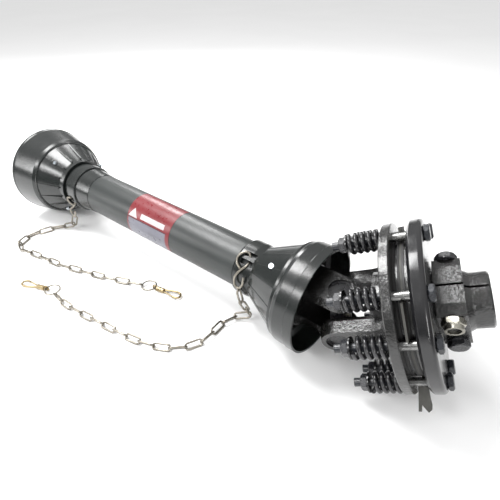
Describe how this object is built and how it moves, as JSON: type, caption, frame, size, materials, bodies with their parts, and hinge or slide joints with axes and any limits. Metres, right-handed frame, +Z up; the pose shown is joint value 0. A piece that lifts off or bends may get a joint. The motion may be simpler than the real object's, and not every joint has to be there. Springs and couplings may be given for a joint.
{
  "type": "guarded driveshaft with friction clutch",
  "caption": "Telescopic universal-joint driveshaft in a black plastic guard, with a spring-loaded friction clutch and clamp hub at one end and safety chains on the guard",
  "frame": {"origin": "on the floor under the middle of the driveline, without the safety chains", "axes": "+X along the shaft towards the clutch end, +Z up, +Y away from the side the chains lie on"},
  "size_m": [0.8925, 0.3219, 0.2107],
  "materials": {
    "guard_plastic": "glossy black",
    "ring_nylon": "natural nylon",
    "label_film": "printed film, red over grey",
    "drive_steel": "drawn steel",
    "black_iron": "black-painted casting, glossy",
    "black_plate": "black gloss paint",
    "bearing_steel": "ground steel",
    "zinc_steel": "zinc plated",
    "spring_steel": "black-coated spring steel",
    "friction_lining": "moulded friction lining",
    "bushing_bronze": "sintered bronze",
    "snap_brass": "yellow-passivated"
  },
  "bodies": {
    "left_guard": {"left_guard_bell": "guard_plastic", "left_guard_cone": "guard_plastic", "left_guard_collar": "guard_plastic", "left_bearing_ring": "ring_nylon", "left_guard_screws": "zinc_steel", "outer_guard_tube": "guard_plastic", "guard_label": "label_film", "left_chain_hook": "zinc_steel", "left_chain": "zinc_steel", "left_chain_ring": "zinc_steel", "left_snap_hook": "snap_brass"},
    "left_gate": {"left_snap_gate": "snap_brass"},
    "right_guard": {"right_guard_bell": "guard_plastic", "right_guard_cone": "guard_plastic", "right_guard_collar": "guard_plastic", "right_bearing_ring": "ring_nylon", "right_guard_screws": "zinc_steel", "inner_guard_tube": "guard_plastic", "right_chain_hook": "zinc_steel", "right_chain": "zinc_steel", "right_chain_ring": "zinc_steel", "right_snap_hook": "snap_brass"},
    "right_gate": {"right_snap_gate": "snap_brass"},
    "left_shaft": {"outer_drive_tube": "drive_steel", "left_tube_yoke": "black_iron", "left_tube_yoke_cups": "bearing_steel", "left_tube_yoke_rings": "bearing_steel", "left_spring_pin": "bearing_steel"},
    "left_cross": {"left_cross": "bearing_steel", "left_grease_nipple": "zinc_steel"},
    "tractor_end": {"tractor_yoke": "black_iron", "tractor_yoke_cups": "bearing_steel", "tractor_yoke_rings": "bearing_steel", "release_pin_spring": "spring_steel"},
    "release_pin": {"release_pin": "zinc_steel"},
    "right_shaft": {"inner_drive_tube": "drive_steel", "right_tube_yoke": "black_iron", "right_tube_yoke_cups": "bearing_steel", "right_tube_yoke_rings": "bearing_steel", "right_spring_pin": "bearing_steel"},
    "right_cross": {"right_cross": "bearing_steel", "right_grease_nipple": "zinc_steel"},
    "clutch_driver": {"clutch_yoke": "black_iron", "clutch_yoke_cups": "bearing_steel", "clutch_yoke_rings": "bearing_steel", "clutch_bushing": "bushing_bronze", "friction_discs": "friction_lining", "fork_plate": "black_plate", "outer_plate": "black_plate", "clutch_bolts": "black_plate", "clutch_nuts": "black_plate", "spring_washers": "bearing_steel", "clutch_springs": "spring_steel"},
    "clutch_driven": {"clutch_hub": "black_iron", "inner_drive_plate": "black_plate", "clamp_bolts": "zinc_steel", "clamp_nuts": "zinc_steel"}
  },
  "joints": [
    {"name": "guard_slide", "type": "slide", "parent": "left_guard", "child": "right_guard", "axis": [1, 0, 0], "range_m": [0, 0.22]},
    {"name": "shaft_spin", "type": "hinge", "parent": "left_guard", "child": "left_shaft", "pos_m": [-0.36625, -0.02299, 0.0796], "axis": [1, 0, 0], "continuous": true},
    {"name": "drive_slide", "type": "slide", "parent": "left_shaft", "child": "right_shaft", "axis": [1, 0, 0], "range_m": [0, 0.22]},
    {"name": "left_inner_pivot", "type": "hinge", "parent": "left_shaft", "child": "left_cross", "pos_m": [-0.35825, -0.02299, 0.0796], "axis": [0, 0.2674, -0.9636], "range_deg": [-28, 28]},
    {"name": "tractor_pivot", "type": "hinge", "parent": "left_cross", "child": "tractor_end", "pos_m": [-0.35825, -0.02299, 0.0796], "axis": [0, 0.9636, 0.2674], "range_deg": [-28, 28]},
    {"name": "release_pin_push", "type": "slide", "parent": "tractor_end", "child": "release_pin", "axis": [0, -1, 0], "range_m": [0, 0.0063], "stiffness_N_per_m": 900, "deforming": ["release_pin_spring"]},
    {"name": "right_inner_pivot", "type": "hinge", "parent": "right_shaft", "child": "right_cross", "pos_m": [0.28825, -0.02299, 0.0796], "axis": [0, 0.2674, -0.9636], "range_deg": [0, 50]},
    {"name": "clutch_pivot", "type": "hinge", "parent": "right_cross", "child": "clutch_driver", "pos_m": [0.28825, -0.02299, 0.0796], "axis": [0.4412, -0.8647, -0.24], "range_deg": [-30, 0]},
    {"name": "clutch_slip", "type": "hinge", "parent": "clutch_driver", "child": "clutch_driven", "pos_m": [0.28825, -0.02299, 0.0796], "axis": [0.8638, 0.3368, 0.3746], "continuous": true},
    {"name": "left_gate_pivot", "type": "hinge", "parent": "left_guard", "child": "left_gate", "pos_m": [0.01829, -0.08352, 0.00405], "axis": [0, 0, 1], "range_deg": [0, 20], "stiffness_Nm_per_rad": 0.02},
    {"name": "right_gate_pivot", "type": "hinge", "parent": "right_guard", "child": "right_gate", "pos_m": [-0.15204, -0.20007, 0.00405], "axis": [0, 0, 1], "range_deg": [0, 20], "stiffness_Nm_per_rad": 0.02}
  ],
  "couplings": [
    {"joint": "drive_slide", "follows": "guard_slide", "ratio": 1}
  ]
}
